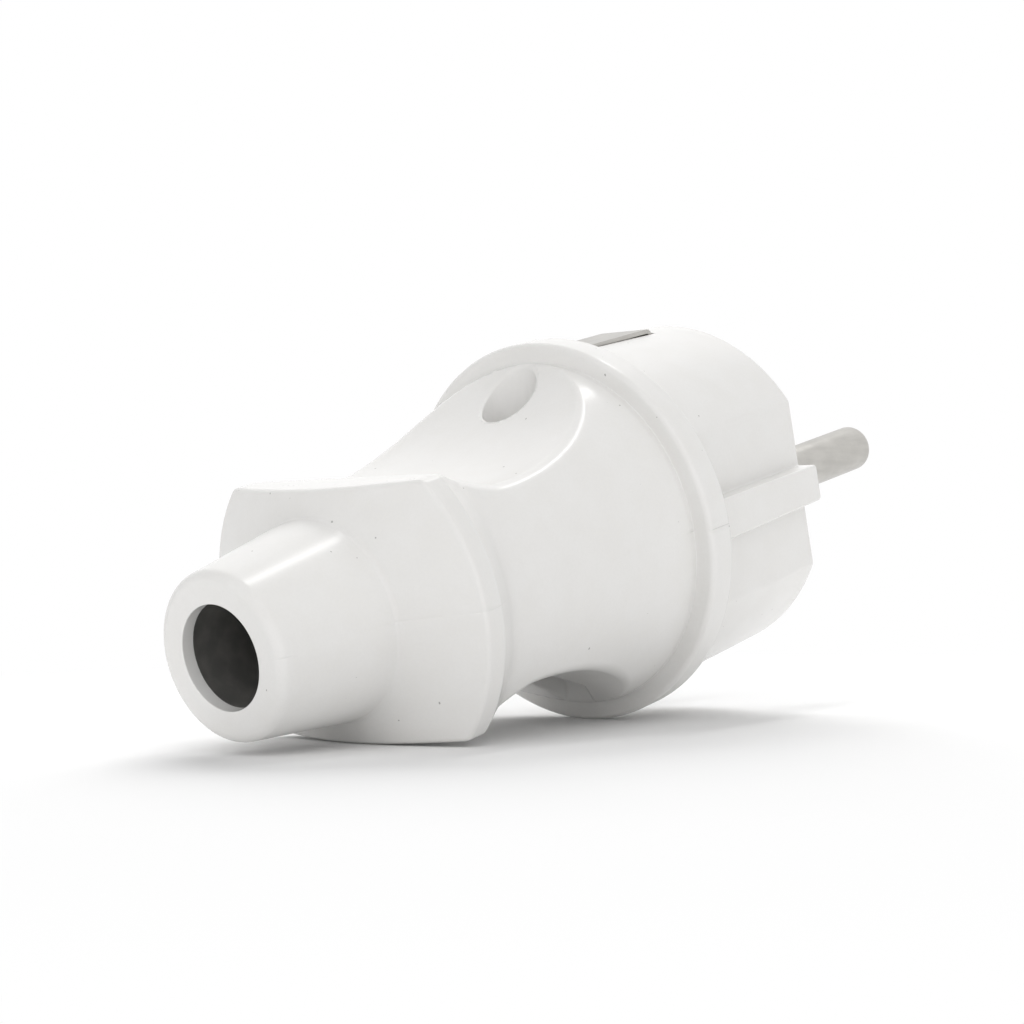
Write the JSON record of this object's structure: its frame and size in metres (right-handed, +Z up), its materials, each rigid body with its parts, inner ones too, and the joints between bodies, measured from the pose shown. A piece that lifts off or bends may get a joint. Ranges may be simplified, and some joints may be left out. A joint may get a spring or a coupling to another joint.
{
  "type": "grounded plug",
  "caption": "Straight rewireable grounded plug with round pins, side earth clips and a waisted two-shell grip.",
  "frame": {"origin": "centre of the box that the plug fills, at the height of the surface it lies on", "axes": "+Y towards the pins, along the longest extent, +X through both pins, +Z up; the plug's own axis is tilted up by 13 degrees towards the pins, because it lies on its flange and flared end"},
  "size_m": [0.039, 0.0868, 0.0408],
  "materials": {
    "white_shell": "moulded, softly glossy",
    "white_carrier": "moulded, softly glossy",
    "grey_plastic": "moulded",
    "nickel": "nickel plated, drawn",
    "brass": "plain",
    "steel": "zinc plated"
  },
  "bodies": {
    "root": {"upper_shell": "white_shell", "lower_shell": "white_shell", "contact_carrier": "white_carrier", "pin_left": "nickel", "pin_right": "nickel", "pin_screw_left": "steel", "pin_screw_right": "steel", "earth_strap": "nickel", "earth_washer": "brass", "earth_screw": "steel", "earth_socket": "brass", "housing_screw_front": "steel", "housing_screw_rear": "steel", "housing_nut_front": "steel", "housing_nut_rear": "steel", "cord_clamp": "grey_plastic", "cord_clamp_screw_left": "steel", "cord_clamp_screw_right": "steel", "cord_clamp_nut_left": "steel", "cord_clamp_nut_right": "steel"}
  },
  "joints": []
}
